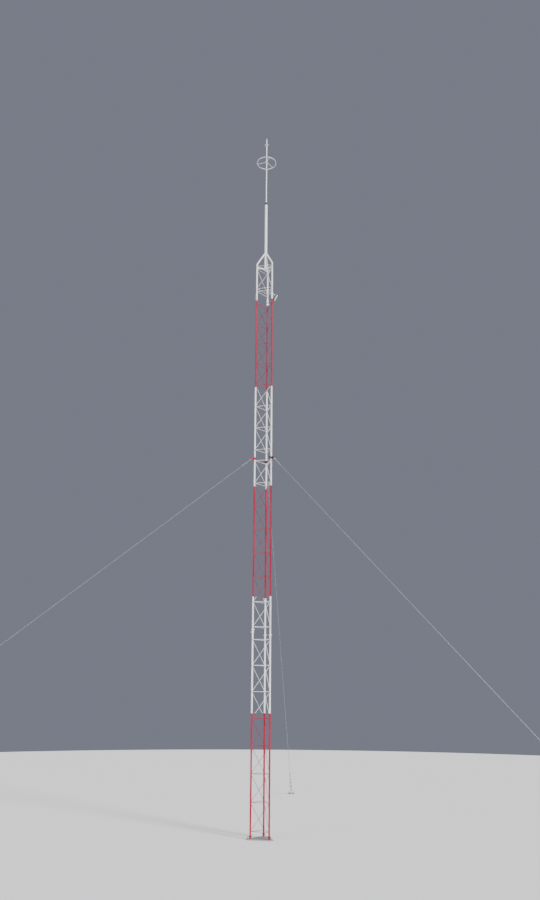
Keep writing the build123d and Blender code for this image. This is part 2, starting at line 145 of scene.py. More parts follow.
# Shader building
class Shader:
    """A material with short calls for its nodes."""

    def __init__(self, name, colour, roughness, metallic=0.0):
        self.material = bpy.data.materials.new(name)
        self.material.use_nodes = True
        self.tree = self.material.node_tree
        self.surface = self.tree.nodes["Principled BSDF"]
        self.surface.inputs["Base Color"].default_value = (*colour, 1)
        self.surface.inputs["Roughness"].default_value = roughness
        self.surface.inputs["Metallic"].default_value = metallic
        self.place = self.node("ShaderNodeTexCoord").outputs["Object"]
        self.material.diffuse_color = (*colour, 1)

    def node(self, kind, **settings):
        made = self.tree.nodes.new(kind)
        for key, value in settings.items():
            setattr(made, key, value)
        return made

    def put(self, socket, value):
        if isinstance(value, bpy.types.NodeSocket):
            self.tree.links.new(value, socket)
        else:
            socket.default_value = value

    def math(self, operation, a, b=None, clamp=False):
        made = self.node("ShaderNodeMath", operation=operation, use_clamp=clamp)
        for socket, value in zip(made.inputs, (a, b)):
            if value is not None:
                self.put(socket, value)
        return made.outputs[0]

    def ramp(self, value, low, high):
        """0 below low, 1 above high and smooth between; low may be above high."""
        made = self.node("ShaderNodeMapRange", interpolation_type="SMOOTHSTEP")
        self.put(made.inputs["Value"], value)
        self.put(made.inputs["From Min"], low)
        self.put(made.inputs["From Max"], high)
        return made.outputs["Result"]

    def noise(self, scale, detail, stretch=(1, 1, 1), rough=0.55):
        place = self.node("ShaderNodeMapping")
        self.put(place.inputs["Vector"], self.place)
        place.inputs["Scale"].default_value = stretch
        made = self.node("ShaderNodeTexNoise")
        self.put(made.inputs["Vector"], place.outputs["Vector"])
        made.inputs["Scale"].default_value = scale
        made.inputs["Detail"].default_value = detail
        made.inputs["Roughness"].default_value = rough
        return made.outputs["Fac"]

    def mix(self, amount, first, second):
        """Blend of two colours: sockets 0, 6 and 7 are the amount and the colours."""
        made = self.node("ShaderNodeMix", data_type="RGBA")
        self.put(made.inputs[0], amount)
        for socket, value in ((made.inputs[6], first), (made.inputs[7], second)):
            self.put(socket, value if isinstance(value, bpy.types.NodeSocket) else (*value, 1))
        return made.outputs[2]

    def blend_number(self, amount, first, second):
        """Blend of two numbers: sockets 0, 2 and 3 are the amount and the numbers."""
        made = self.node("ShaderNodeMix", data_type="FLOAT")
        self.put(made.inputs[0], amount)
        self.put(made.inputs[2], first)
        self.put(made.inputs[3], second)
        return made.outputs[0]

    def axis(self, name):
        split = self.node("ShaderNodeSeparateXYZ")
        self.put(split.inputs[0], self.place)
        return split.outputs[name]

    def clear_of_leg(self, side):
        """Distance from one leg's surface, in metres."""
        flat = self.node("ShaderNodeCombineXYZ")
        self.put(flat.inputs[0], self.axis("X"))
        self.put(flat.inputs[1], self.axis("Y"))
        gap = self.node("ShaderNodeVectorMath", operation="DISTANCE")
        self.put(gap.inputs[0], flat.outputs[0])
        gap.inputs[1].default_value = leg(side)
        return self.math("SUBTRACT", gap.outputs["Value"], LEG_RADIUS)

    def bump(self, height, strength, distance):
        made = self.node("ShaderNodeBump")
        made.inputs["Strength"].default_value = strength
        made.inputs["Distance"].default_value = distance
        self.put(made.inputs["Height"], height)
        self.put(self.surface.inputs["Normal"], made.outputs["Normal"])

    def colour(self, value):
        self.put(self.surface.inputs["Base Color"], value)

    def roughness(self, value):
        self.put(self.surface.inputs["Roughness"], value)

    def metallic(self, value):
        self.put(self.surface.inputs["Metallic"], value)


# Colours
RED = (0.31, 0.0015, 0.030)
RED_FADED = (0.40, 0.012, 0.055)
# Red of the right and back guy brackets, darkened as painted shade
RED_PAINTED_SHADE = (0.085, 0.002, 0.014)
RED_FADED_PAINTED_SHADE = (0.12, 0.012, 0.022)
WHITE = (0.91, 0.91, 0.90)
WHITE_DULL = (0.80, 0.79, 0.77)
DIRT = (0.33, 0.28, 0.23)
RUST_LIGHT = (0.36, 0.13, 0.045)
RUST_DARK = (0.13, 0.045, 0.02)
ZINC_PLATE = (0.50, 0.49, 0.47)
WIRE = (0.40, 0.41, 0.45)
WIRE_DULL = (0.26, 0.24, 0.22)
DARK = (0.030, 0.029, 0.036)
DARK_WORN = (0.060, 0.055, 0.055)
BLACK_PLASTIC = (0.03, 0.03, 0.034)
BLACK_PLASTIC_WORN = (0.06, 0.058, 0.055)
GREY_PLASTIC = (0.70, 0.70, 0.69)
GREY_PLASTIC_WORN = (0.60, 0.59, 0.56)
FLOOR = (0.79, 0.79, 0.80)
FLOOR_LIGHT = (0.82, 0.82, 0.82)
# Plain colours of four materials, for views that don't show their mixed ones
ZINC_PLATE_PLAIN = (0.50, 0.50, 0.50)
WIRE_PLAIN = (0.38, 0.39, 0.42)
DARK_PLAIN = (0.035, 0.034, 0.040)
FLOOR_PLAIN = (0.80, 0.80, 0.80)

# Where paint rusts, as distances at which rust sets in and is at its full: over a weld, under it
# and away from the leg
RUST_OVER_WELD = (0.016, 0.003)
RUST_UNDER_WELD = (-0.060, -0.008)
RUST_FROM_LEG = (0.014, 0.002)
# Dark line where two sections meet, as heights in the section at which it sets in and is full
SEAM_AT_FOOT = (0.0022, 0.0008)
SEAM_AT_HEAD = (SECTION - 0.0022, SECTION - 0.0008)
BAND_WOBBLE = 0.014
# Distances from the left leg at which the red brackets go from painted shade to lit crimson
PAINTED_SHADE_FROM_LEFT_LEG = (0.12, 0.10)
# Unevenness of the edge to which the leg's paint covers the antenna's clamps
CLAMP_PAINT_EDGE = 0.003


def near_leg(shader):
    """Distance from the surface of the nearest leg, in metres."""
    gaps = [shader.clear_of_leg(side) for side in LEG_HEADINGS]
    return shader.math("MINIMUM", shader.math("MINIMUM", gaps[0], gaps[1]), gaps[2])


def rise_over_foot(shader):
    """Height over the foot of the section, in metres."""
    over_plate = shader.math("ADD", shader.axis("Z"), SECTION - PLATE)
    return shader.math("MODULO", over_plate, SECTION)


def rise_over_bay_level(shader):
    """Height over the nearest welded level of a section, in metres; negative below it."""
    over_half_bay = shader.math("ADD", rise_over_foot(shader), 1.5 * BAY - FIRST_LEVEL)
    return shader.math("SUBTRACT", shader.math("MODULO", over_half_bay, BAY), BAY / 2)


def rises_over_top_levels(shader):
    """Height over each welded level of the top, in metres."""
    height = shader.axis("Z")
    return [shader.math("SUBTRACT", height, TOP_FOOT + level) for level in TOP_LEVELS]


def weld_zone(shader, rises):
    """1 at the welded levels and for some centimetres below, where water carries rust down."""
    zone = 0.0
    for rise in rises:
        over = shader.ramp(rise, *RUST_OVER_WELD)
        under = shader.ramp(rise, *RUST_UNDER_WELD)
        zone = shader.math("MAXIMUM", zone, shader.math("MULTIPLY", over, under))
    return shader.math("MULTIPLY", zone, shader.ramp(near_leg(shader), *RUST_FROM_LEG))


def paint(name, banded=False, red=False, wear=1.0):
    """Brushed-on outdoor paint: bands by height, faded and streaked, rust where it is welded.

    Red alone is crimson at the left leg and darker at the other two, as painted shade on the right
    and back guy brackets.
    """
    shader = Shader(name, RED if red else WHITE, roughness=0.42)
    shader.surface.inputs["Specular IOR Level"].default_value = 0.3
    cloud = shader.noise(5.0, 4.0, (1, 1, 0.35))
    streak = shader.noise(60.0, 3.0, (1, 1, 0.06))
    grain = shader.noise(420.0, 2.0)
    white = shader.mix(shader.ramp(cloud, 0.42, 0.78), WHITE, WHITE_DULL)
    faded = shader.ramp(cloud, 0.40, 0.75)
    crimson = shader.mix(faded, RED, RED_FADED)
    if banded:
        wobble = shader.math("MULTIPLY", shader.math("SUBTRACT", streak, 0.5), BAND_WOBBLE)
        height = shader.math("ADD", shader.axis("Z"), wobble)
        passed = 0.0
        for edge in BAND_EDGES:
            passed = shader.math("ADD", passed, shader.math("GREATER_THAN", height, edge))
        base = shader.mix(shader.math("MODULO", passed, 2.0), crimson, white)
    elif red:
        # Painted shade: away from the left leg, on the right and back brackets, the red is
        # darkened
        painted_shade_red = shader.mix(faded, RED_PAINTED_SHADE, RED_FADED_PAINTED_SHADE)
        bright = shader.ramp(shader.clear_of_leg("left"), *PAINTED_SHADE_FROM_LEFT_LEG)
        base = shader.mix(bright, painted_shade_red, crimson)
    else:
        base = white
    dirt = shader.math("MULTIPLY", shader.ramp(streak, 0.52, 0.80), 0.22 * wear)
    base = shader.mix(dirt, base, DIRT)
    if banded:
        foot = rise_over_foot(shader)
        at_foot = shader.ramp(foot, *SEAM_AT_FOOT)
        seam = shader.math("MAXIMUM", at_foot, shader.ramp(foot, *SEAM_AT_HEAD))
        base = shader.mix(shader.math("MULTIPLY", seam, 0.8), base, RUST_DARK)
        zone = weld_zone(shader, [rise_over_bay_level(shader)])
    else:
        zone = weld_zone(shader, rises_over_top_levels(shader))
    patch = shader.noise(95.0, 4.0, (1, 1, 0.6), rough=0.65)
    drip = shader.noise(210.0, 3.0, (1, 1, 0.05))
    spots = shader.math("MULTIPLY", shader.ramp(patch, 0.66, 0.74), 0.6)
    around_weld = shader.math("MULTIPLY", zone, shader.ramp(patch, 0.52, 0.62))
    drips = shader.math("MULTIPLY", zone, shader.ramp(drip, 0.50, 0.68))
    rust = shader.math("MAXIMUM", shader.math("MAXIMUM", around_weld, drips), spots)
    rust = shader.math("MULTIPLY", rust, 0.8 * wear, clamp=True)
    brown = shader.mix(grain, RUST_DARK, RUST_LIGHT)
    shader.colour(shader.mix(rust, base, brown))
    rough = shader.blend_number(cloud, 0.34, 0.52)
    shader.roughness(shader.blend_number(rust, rough, 0.86))
    height = shader.math("ADD", shader.math("MULTIPLY", grain, 0.5), rust)
    shader.bump(height, strength=0.22, distance=0.0004)
    return shader.material


def galvanised(name, bright=0.78, rusty=0.30):
    """Hot-dipped zinc: crystals, dull clouds and some rust. bright is its grey, rusty its rust."""
    clean = (bright, bright, bright * 1.02)
    dull = (bright * 0.70, bright * 0.71, bright * 0.74)
    shader = Shader(name, clean, roughness=0.42, metallic=0.4)
    cells = shader.node("ShaderNodeTexVoronoi")
    shader.put(cells.inputs["Vector"], shader.place)
    cells.inputs["Scale"].default_value = 140.0
    cloud = shader.noise(9.0, 4.0)
    patch = shader.noise(70.0, 4.0, rough=0.7)
    spangle = shader.math("MULTIPLY", shader.math("ADD", cells.outputs["Distance"], cloud), 0.6)
    rust = shader.math("MULTIPLY", shader.ramp(patch, 0.60, 0.74), rusty)
    shader.colour(shader.mix(rust, shader.mix(spangle, clean, dull), RUST_LIGHT))
    shader.roughness(shader.blend_number(cloud, 0.34, 0.58))
    shader.metallic(shader.blend_number(rust, 0.4, 0.05))
    shader.bump(shader.noise(260.0, 3.0), strength=0.18, distance=0.0006)
    return shader.material


def fastener(name):
    """Zinc-plated bolts that have begun to rust."""
    shader = Shader(name, ZINC_PLATE_PLAIN, roughness=0.4, metallic=0.8)
    cloud = shader.noise(120.0, 4.0, rough=0.65)
    rust = shader.ramp(cloud, 0.44, 0.66)
    brown = shader.mix(shader.noise(300.0, 2.0), RUST_DARK, RUST_LIGHT)
    shader.colour(shader.mix(rust, ZINC_PLATE, brown))
    shader.metallic(shader.blend_number(rust, 0.8, 0.05))
    shader.roughness(shader.blend_number(rust, 0.38, 0.85))
    shader.bump(cloud, strength=0.3, distance=0.0005)
    return shader.material


def strand(name):
    """Galvanised wire strand, dull in places."""
    shader = Shader(name, WIRE_PLAIN, roughness=0.4, metallic=0.5)
    cloud = shader.noise(16.0, 4.0, rough=0.6)
    shader.colour(shader.mix(shader.ramp(cloud, 0.35, 0.75), WIRE, WIRE_DULL))
    shader.roughness(shader.blend_number(cloud, 0.32, 0.6))
    return shader.material


def plastic(name, colour, worn, roughness):
    """Moulded plastic with a fine grain, paler or duller in clouds."""
    shader = Shader(name, colour, roughness)
    cloud = shader.noise(22.0, 4.0)
    shader.colour(shader.mix(shader.ramp(cloud, 0.35, 0.75), colour, worn))
    shader.roughness(shader.blend_number(cloud, roughness - 0.06, roughness + 0.12))
    shader.bump(shader.noise(900.0, 2.0), strength=0.2, distance=0.0003)
    return shader.material


def dark_paint(name):
    """Dull dark paint, with the leg's own paint carried over it where it grips the leg."""
    shader = Shader(name, DARK_PLAIN, roughness=0.55)
    cloud = shader.noise(45.0, 4.0, rough=0.6)
    painted = 0.0
    for level, _ in ANTENNA_CLAMPS:
        drop = shader.math("SUBTRACT", shader.axis("Z"), TOP_FOOT + level)
        on_clamp = shader.math("ABSOLUTE", drop)
        on_clamp = shader.math("LESS_THAN", on_clamp, CLAMP_HALF + SEAT_GAP)
        painted = shader.math("MAXIMUM", painted, on_clamp)
    uneven = shader.math("MULTIPLY", cloud, CLAMP_PAINT_EDGE)
    grip = shader.math("ADD", shader.clear_of_leg("right"), uneven)
    widest = max(bore for _, bore in ANTENNA_CLAMPS)
    reach = widest + BRACKET_WALL - LEG_RADIUS + CLAMP_PAINT_EDGE
    painted = shader.math("MULTIPLY", painted, shader.math("LESS_THAN", grip, reach))
    dark = shader.mix(shader.ramp(cloud, 0.4, 0.7), DARK, DARK_WORN)
    is_white = shader.math("GREATER_THAN", shader.axis("Z"), TOP_FOOT)
    shader.colour(shader.mix(painted, dark, shader.mix(is_white, RED, WHITE_DULL)))
    shader.roughness(shader.blend_number(painted, 0.58, 0.45))
    shader.bump(shader.noise(300.0, 3.0), strength=0.2, distance=0.0004)
    return shader.material


def stage_surface():
    shader = Shader("studio_floor", FLOOR_PLAIN, roughness=0.9)
    shader.colour(shader.mix(shader.noise(0.35, 3.0), FLOOR, FLOOR_LIGHT))
    return shader.material


# Geometry that pieces are made from
def angles(count, start=0.0):
    """A full turn in equal steps, in radians."""
    return [start + 2 * math.pi * i / count for i in range(count)]


def around(middle, side, other, angle, radius):
    """Point at an angle from side towards other, at a distance from the middle."""
    return middle + (side * math.cos(angle) + other * math.sin(angle)) * radius


def circle_path(middle, axis, radius, count):
    side = axis.orthogonal().normalized()
    other = axis.cross(side).normalized()
    return [around(middle, side, other, a, radius) for a in angles(count)]


def spaced(start, end, step):
    """Points from start to end, about a step apart."""
    count = max(1, round((end - start).length / step))
    return [start.lerp(end, i / count) for i in range(count + 1)]


def rectangle_sides(half_u, half_v):
    """The four sides of a rectangle, each as its two ends."""
    corners = [(-half_u, -half_v), (half_u, -half_v), (half_u, half_v), (-half_u, half_v)]
    return zip(corners, corners[1:] + corners[:1])


def sweep(path, closed=False):
    """Each point of a path with two directions across it, which turn as little as they can."""
    count = len(path)
    side = None
    stations = []
    for i, point in enumerate(path):
        before = path[i - 1] if (closed or i) else path[0]
        after = path[(i + 1) % count] if (closed or i < count - 1) else path[-1]
        along = (after - before).normalized()
        if side is None:
            side = along.orthogonal().normalized()
        side = (side - along * side.dot(along)).normalized()
        stations.append((point, side, along.cross(side)))
    return stations


class Piece:
    """A visible piece: many small forms gathered into one mesh. kind picks a form's material."""

    def __init__(self, name, materials):
        self.name = name
        self.materials = materials
        self.points = []
        self.faces = []
        self.kinds = []

    def loft(self, rings, kind=0, closed=False):
        """Skin over rings of points that all have the same count, capped unless it is closed."""
        count = len(rings[0])
        points = [point for ring in rings for point in ring]
        faces = []
        for i in range(len(rings) if closed else len(rings) - 1):
            a = i * count
            b = ((i + 1) % len(rings)) * count
            for j in range(count):
                k = (j + 1) % count
                faces.append((a + j, a + k, b + k, b + j))
        if not closed:
            faces.append(tuple(reversed(range(count))))
            faces.append(tuple(range(len(points) - count, len(points))))
        first = len(self.points)
        self.points.extend(points)
        self.faces.extend([tuple(first + i for i in face) for face in faces])
        self.kinds.extend([kind] * len(faces))

    def turned(self, start, axis, profile, sides, kind=0, spin=0.0):
        """Solid of revolution: profile is a list of (distance along the axis, radius)."""
        axis = axis.normalized()
        side = axis.orthogonal().normalized()
        other = axis.cross(side)
        rings = []
        for along, radius in profile:
            middle = start + axis * along
            rings.append([around(middle, side, other, a, radius) for a in angles(sides, spin)])
        self.loft(rings, kind)

    def tube(self, path, radius, sides, closed=False, kind=0, wander=0.0):
        """Round bar along a path; wander is the share by which its radius varies."""
        rings = []
        for point, side, other in sweep(path, closed):
            size = radius * (1 + wander * (rng.random() * 2 - 1))
            rings.append([around(point, side, other, a, size) for a in angles(sides)])
        self.loft(rings, kind, closed)

    def block(self, middle, axes, size, kind, bevel):
        """Box on three axes, its long edges along the first one bevelled."""
        x, y, z = axes
        a, b = size[1] / 2, size[2] / 2
        outline = [
            (a - bevel, -b),
            (a, bevel - b),
            (a, b - bevel),
            (a - bevel, b),
            (bevel - a, b),
            (-a, b - bevel),
            (-a, bevel - b),
            (bevel - a, -b),
        ]
        rings = []
        for way in (-1, 1):
            start = middle + x * (way * size[0] / 2)
            rings.append([start + y * u + z * v for u, v in outline])
        self.loft(rings, kind)

    def make(self, smooth):
        """Faces that meet at less than smooth degrees shade as one."""
        mesh = bpy.data.meshes.new(self.name)
        mesh.from_pydata([tuple(p) for p in self.points], [], self.faces)
        for material in self.materials:
            mesh.materials.append(material)
        for polygon, kind in zip(mesh.polygons, self.kinds):
            polygon.material_index = kind
        mesh.validate()
        piece = bpy.data.objects.new(self.name, mesh)
        bpy.context.scene.collection.objects.link(piece)
        mesh.shade_smooth()
        mesh.set_sharp_from_angle(angle=math.radians(smooth))
        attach(piece, "root")


# Degrees for Piece.make
BOLTS = 30.0
TURNED_PARTS = 35.0
RING_FITTINGS = 45.0
WELDS = 60.0
ROPE = 80.0


def hexagon(piece, start, axis, flats, height, kind=0, spin=0.0):
    """Bolt head or nut with its corners taken off."""
    corner = flats / math.sqrt(3)
    chamfer = flats * 0.06
    seat = corner * 0.93
    crown = corner * 0.90
    profile = [(0, seat), (chamfer, corner), (height - chamfer, corner), (height, crown)]
    piece.turned(start, axis, profile, sides=6, kind=kind, spin=spin)


def washer(piece, start, axis, radius, height, kind=0):
    rim = radius * 0.97
    low, high = height * 0.3, height * 0.7
    profile = [(0, rim), (low, radius), (high, radius), (height, rim)]
    piece.turned(start, axis, profile, sides=20, kind=kind)


def thread(piece, start, axis, radius, length, pitch, kind=0, sides=10):
    """Screw thread as fine ridges round a stem, with a bevelled end."""
    root = radius * 0.88
    tip = radius * 0.7
    bevel = radius * 0.15
    steps = max(2, int(length / pitch))
    profile = []
    for i in range(steps):
        profile.append((i * pitch, root))
        profile.append(((i + 0.5) * pitch, radius))
    profile.append((steps * pitch, root))
    profile.append((steps * pitch + bevel, tip))
    piece.turned(start, axis, profile, sides, kind)


def through_bolt(piece, middle, axis, grip, size, kind=0, spin=0.0, rest=0.004):
    """Hexagon bolt with its head along axis, through something grip thick.

    It has washers, a nut and a thread end that stands out by rest.
    """
    flats = size * 1.65
    head_height = size * 0.64
    nut_height = size * 0.8
    washer_radius = size * 1.05
    washer_height = size * 0.16
    head = middle + axis * (grip / 2)
    washer(piece, head, axis, washer_radius, washer_height, kind)
    hexagon(piece, head + axis * washer_height, axis, flats, head_height, kind, spin)
    tail = middle - axis * (grip / 2)
    washer(piece, tail, -axis, washer_radius, washer_height, kind)
    hexagon(piece, tail - axis * washer_height, -axis, flats, nut_height, kind, spin + 0.3)
    end = tail - axis * (washer_height + nut_height)
    thread(piece, end, -axis, size / 2, rest, size * 0.14, kind)


def stud_nut(piece, start, size, rest, spin):
    """Anchor stud that stands up through a plate, with its washer and nut."""
    washer_height = size * 0.18
    nut_height = size * 0.8
    washer(piece, start, UP, size, washer_height)
    hexagon(piece, start + UP * washer_height, UP, size * 1.5, nut_height, spin=spin)
    end = start + UP * (washer_height + nut_height)
    thread(piece, end, UP, size / 2, rest, size * 0.125, sides=12)


def set_screw(piece, start, out, washer_size, head_size, spin):
    """Screw head on a washer; each size is a radius or a width over flats, and a height."""
    washer(piece, start, out, *washer_size)
    hexagon(piece, start + out * washer_size[1], out, *head_size, spin=spin)


make_camera()

# Materials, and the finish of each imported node
banded = paint("paint_banded", banded=True)
white = paint("paint_white", wear=0.8)
# Red paint of the guy brackets, with painted shade on the right and back ones
crimson = paint("paint_red_painted_shade", red=True, wear=1.2)
zinc = galvanised("steel_galvanised")
old_zinc = galvanised("steel_weathered", bright=0.46, rusty=0.5)
bolt_steel = fastener("steel_fastener")
wire = strand("steel_strand")
black = plastic("plastic_black", BLACK_PLASTIC, BLACK_PLASTIC_WORN, roughness=0.5)
dark = dark_paint("paint_dark")
grey = plastic("plastic_grey", GREY_PLASTIC, GREY_PLASTIC_WORN, roughness=0.4)

finishes = {
    "banded_paint": banded,
    "white_paint": white,
    "red_paint": crimson,
    "dark_paint": dark,
    "galvanised_steel": zinc,
    "steel_cable": wire,
    "black_plastic": black,
    "grey_plastic": grey,
}
slots = {s["node"]: s["material_slot"] for s in frame["record"]["subparts"]}
for name, node in nodes.items():
    finish = finishes[slots[name]]
    if name == "base_plate" or name.endswith(("anchor", "turnbuckle")):
        finish = old_zinc
    if not node.material_slots:
        node.data.materials.append(finish)
    for place in node.material_slots:
        place.material = finish


# Weld beads round each rod's ends, where it meets a leg
WELD_RISE = 0.0006
ROD_BEAD = 0.0015
ROD_BEAD_STEPS = 12
# Shares by which a bead's radius varies
ROUGH_WELD = 0.18
EVEN_WELD = 0.15


def weld_bead(piece, side, along, height, slope):
    """along is the way from the leg's axis to the rod; slope is the rod's rise over its run."""
    centre = leg(side, height)
    across = along.cross(UP)
    wide = ROD_RADIUS + WELD_RISE
    tall = wide * math.sqrt(1 + slope * slope)
    path = []
    for a in angles(ROD_BEAD_STEPS):
        v = wide * math.cos(a)
        h = tall * math.sin(a)
        reach = math.sqrt(LEG_RADIUS**2 - v * v) + WELD_RISE
        path.append(centre + along * reach + across * v + UP * h)
    piece.tube(path, ROD_BEAD, sides=5, closed=True, wander=ROUGH_WELD)


def weld_section(name, foot, levels, climbs, material):
    """Beads of a section's horizontals, at levels, and diagonals, at climbs from low to high."""
    piece = Piece(name, [material])
    for low_side, high_side in FACES:
        along = (leg(high_side) - leg(low_side)).normalized()
        for level in levels:
            weld_bead(piece, low_side, along, foot + level, 0.0)
            weld_bead(piece, high_side, -along, foot + level, 0.0)
        for low, high in climbs:
            slope = (high - low) / (FACE - 2 * COPE_RADIUS)
            weld_bead(piece, low_side, along, foot + low, slope)
            weld_bead(piece, high_side, -along, foot + high, slope)
    piece.make(WELDS)


levels = [FIRST_LEVEL + BAY * i for i in range(BAYS + 1)]
climbs = [(low + DIAGONAL_OFFSET, low + BAY - DIAGONAL_OFFSET) for low in levels[:-1]]
for i, name in enumerate(("lower", "middle", "upper")):
    foot = PLATE + SECTION * i
    weld_section(f"weld_beads_{name}", foot, levels, climbs, banded)
top_climb = (TOP_LEVELS[1] + DIAGONAL_OFFSET, TOP_LEVELS[2] - DIAGONAL_OFFSET)
weld_section("weld_beads_top", TOP_FOOT, TOP_LEVELS, [top_climb], white)

# Two bolts through the sleeve at each joint of the legs, and one at each foot. They were drilled
# by hand: each has its own height above the joint and heading of its head, and the third number
# of a leg is how far its thread ends stand out.
JOINT_BOLTS = {
    1: {
        "left": ((0.055, 180), (0.014, 0), 0.009),
        "right": ((0.046, 284), (-0.034, 180), 0.005),
        "back": ((0.058, 284), (-0.016, 180), 0.004),
    },
    2: {
        "left": ((0.046, 284), (-0.018, 104), 0.004),
        "right": ((0.046, 284), (-0.020, 104), 0.005),
        "back": ((0.046, 284), (-0.016, 104), 0.006),
    },
    3: {
        "left": ((0.056, 284), (0.018, 104), 0.003),
        "right": ((0.056, 70), (0.018, 250), 0.004),
        "back": ((0.056, 284), (0.018, 180), 0.009),
    },
}
TOP_JOINT = 3
FOOT_BOLTS = {"left": 180, "right": 0, "back": 0}
FOOT_BOLT_RISE = 0.036
BOLT_SIZE = 0.010
BOLT_PLAY = 0.0005
leg_grip = 2 * LEG_RADIUS + BOLT_PLAY
collar_grip = 2 * COLLAR_RADIUS + BOLT_PLAY
joint_bolts = Piece("leg_joint_bolts", [banded, white])
for side, angle in FOOT_BOLTS.items():
    middle = leg(side, PLATE + FOOT_BOLT_RISE)
    through_bolt(joint_bolts, middle, heading(angle), leg_grip, BOLT_SIZE, spin=0.2)
for joint, bolts in JOINT_BOLTS.items():
    level = PLATE + SECTION * joint
    top = joint == TOP_JOINT
    grip = collar_grip if top else leg_grip
    for side, (high, low, rest) in bolts.items():
        for (height, angle), spin in ((high, 0.4), (low, 0.9)):
            middle = leg(side, level + height)
            through_bolt(joint_bolts, middle, heading(angle), grip, BOLT_SIZE, top, spin, rest)
joint_bolts.make(BOLTS)

# Anchor studs on the base plate and on each guy's disc
BASE_STUD = 0.016
BASE_STUD_REST = 0.020
BASE_STUD_REACH = LEG_CIRCLE + 0.038
DISC_STUD = 0.012
DISC_STUD_REST = 0.016
DISC_BOLT_CIRCLE = 0.058
DISC_BOLT_HEADINGS = (45, 135, 225, 315)
studs = Piece("anchor_studs", [bolt_steel])
for angle in LEG_HEADINGS.values():
    start = heading(angle) * BASE_STUD_REACH + UP * PLATE
    stud_nut(studs, start, BASE_STUD, BASE_STUD_REST, angle)
for side, angle in GUY_HEADINGS.items():
    foot = leg(side, ANCHOR_DISC) + heading(angle) * GUY_DISTANCES[side]
    for spin, turn in enumerate(DISC_BOLT_HEADINGS):
        start = foot + heading(turn) * DISC_BOLT_CIRCLE
        stud_nut(studs, start, DISC_STUD, DISC_STUD_REST, spin)
studs.make(BOLTS)

# Bolts that close the slit collars of the guy brackets
EAR_BOLT = 0.008
EAR_BOLT_REACH = COPE_RADIUS + BRACKET_WALL + 0.011
EAR_GRIP = 0.016
EAR_REST = 0.006
clamp_bolts = Piece("guy_bracket_bolts", [bolt_steel])
for side, angle in GUY_HEADINGS.items():
    ears = angle + EAR_TURNS[side]
    middle = leg(side, GUY_LEVEL) + heading(ears) * EAR_BOLT_REACH
    way = heading(ears - 90)
    through_bolt(clamp_bolts, middle, way, EAR_GRIP, EAR_BOLT, spin=0.5, rest=EAR_REST)
clamp_bolts.make(BOLTS)

# Guys: wire strand turned back round a thimble at each end and held by three clips.
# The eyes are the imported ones: they pull against lugs and hooks with the seat gap between.
EYE_INNER = 0.013
HOOK_EYE = EYE_INNER + 0.0045
TURNBUCKLE_STEM = 0.060
TURNBUCKLE_BODY = 0.170
TURNBUCKLE = 2 * (HOOK_EYE + TURNBUCKLE_STEM) + TURNBUCKLE_BODY
LUG_HOLE_RADIUS = 0.009
EYE_LUG = LUG_HOLE_RADIUS + math.sqrt((EYE_INNER - SEAT_GAP) ** 2 - LUG_HALF**2)
EYE_LINK = 2 * EYE_INNER - SEAT_GAP
LUG_HOLE_DROP = 0.010
LUG_HOLE_REACH = 0.058
ANCHOR_HOLE = ANCHOR_DISC + 0.062
CABLE_RADIUS = 0.0032
THIMBLE_WALL = 0.0016
LOOP_RADIUS = EYE_INNER + THIMBLE_WALL + CABLE_RADIUS
# The strand: its outer wires, the length in which they turn once, and its radius between them
# as a share of its whole radius
OUTER_WIRES = 6
LAY = 0.080
GROOVE = 0.80
# Distances from the eye's middle along the guy: where the loop leaves the taut line, where its
# tail has come in beside that line, the clips and the tail's end
NECK = 0.066
TAIL_START = NECK + 0.012
FIRST_CLIP = 0.092
CLIP_SPACING = 0.040
CLIPS = 3
TAIL = 0.203
TAIL_GAP = 2 * CABLE_RADIUS + SEAT_GAP
LINE_STEP = 0.0067
LOOP_STEP = 0.006
LOOP_STEPS = 22


def guy_stations(side):
    """Three directions of a guy, then its eyes' middles and its turnbuckle's, from top to foot."""
    out = heading(GUY_HEADINGS[side])
    high = leg(side, GUY_LEVEL - LUG_HOLE_DROP) + out * LUG_HOLE_REACH
    low = leg(side, ANCHOR_HOLE) + out * GUY_DISTANCES[side]
    down = (low - high).normalized()
    cable_top = high + down * EYE_LUG
    hook_low = low - down * EYE_LUG
    hook_high = hook_low - down * TURNBUCKLE
    cable_low = hook_high - down * EYE_LINK
    across = heading(GUY_HEADINGS[side] - 90)
    return down, across, down.cross(across), cable_top, cable_low, hook_high, hook_low


def rope(piece, path, phase=0.0):
    """Strand of six outer wires: a lobed section that turns as it goes along the path."""
    rings = []
    travelled = 0.0
    last = path[0]
    for point, side, other in sweep(path):
        travelled += (point - last).length
        last = point
        twist = phase + 2 * math.pi * travelled / LAY
        ring = []
        for i, a in enumerate(angles(2 * OUTER_WIRES, twist)):
            size = CABLE_RADIUS * GROOVE if i % 2 else CABLE_RADIUS
            ring.append(around(point, side, other, a, size))
        rings.append(ring)
    piece.loft(rings)


def eye_loop(middle, along, edge):
    """Path from the taut line round the eye and back beside it to the tail's end."""
    lean = math.acos(LOOP_RADIUS / NECK)
    first = around(middle, along, edge, lean, LOOP_RADIUS)
    path = spaced(middle + along * NECK, first, LOOP_STEP)[:-1]
    for i in range(LOOP_STEPS + 1):
        a = lean + (2 * math.pi - 2 * lean) * i / LOOP_STEPS
        path.append(around(middle, along, edge, a, LOOP_RADIUS))
    beside = middle - edge * TAIL_GAP
    back = beside + along * TAIL_START
    path += spaced(path[-1], back, LOOP_STEP)[1:]
    path += spaced(back, beside + along * TAIL, LOOP_STEP)[1:]
    return path


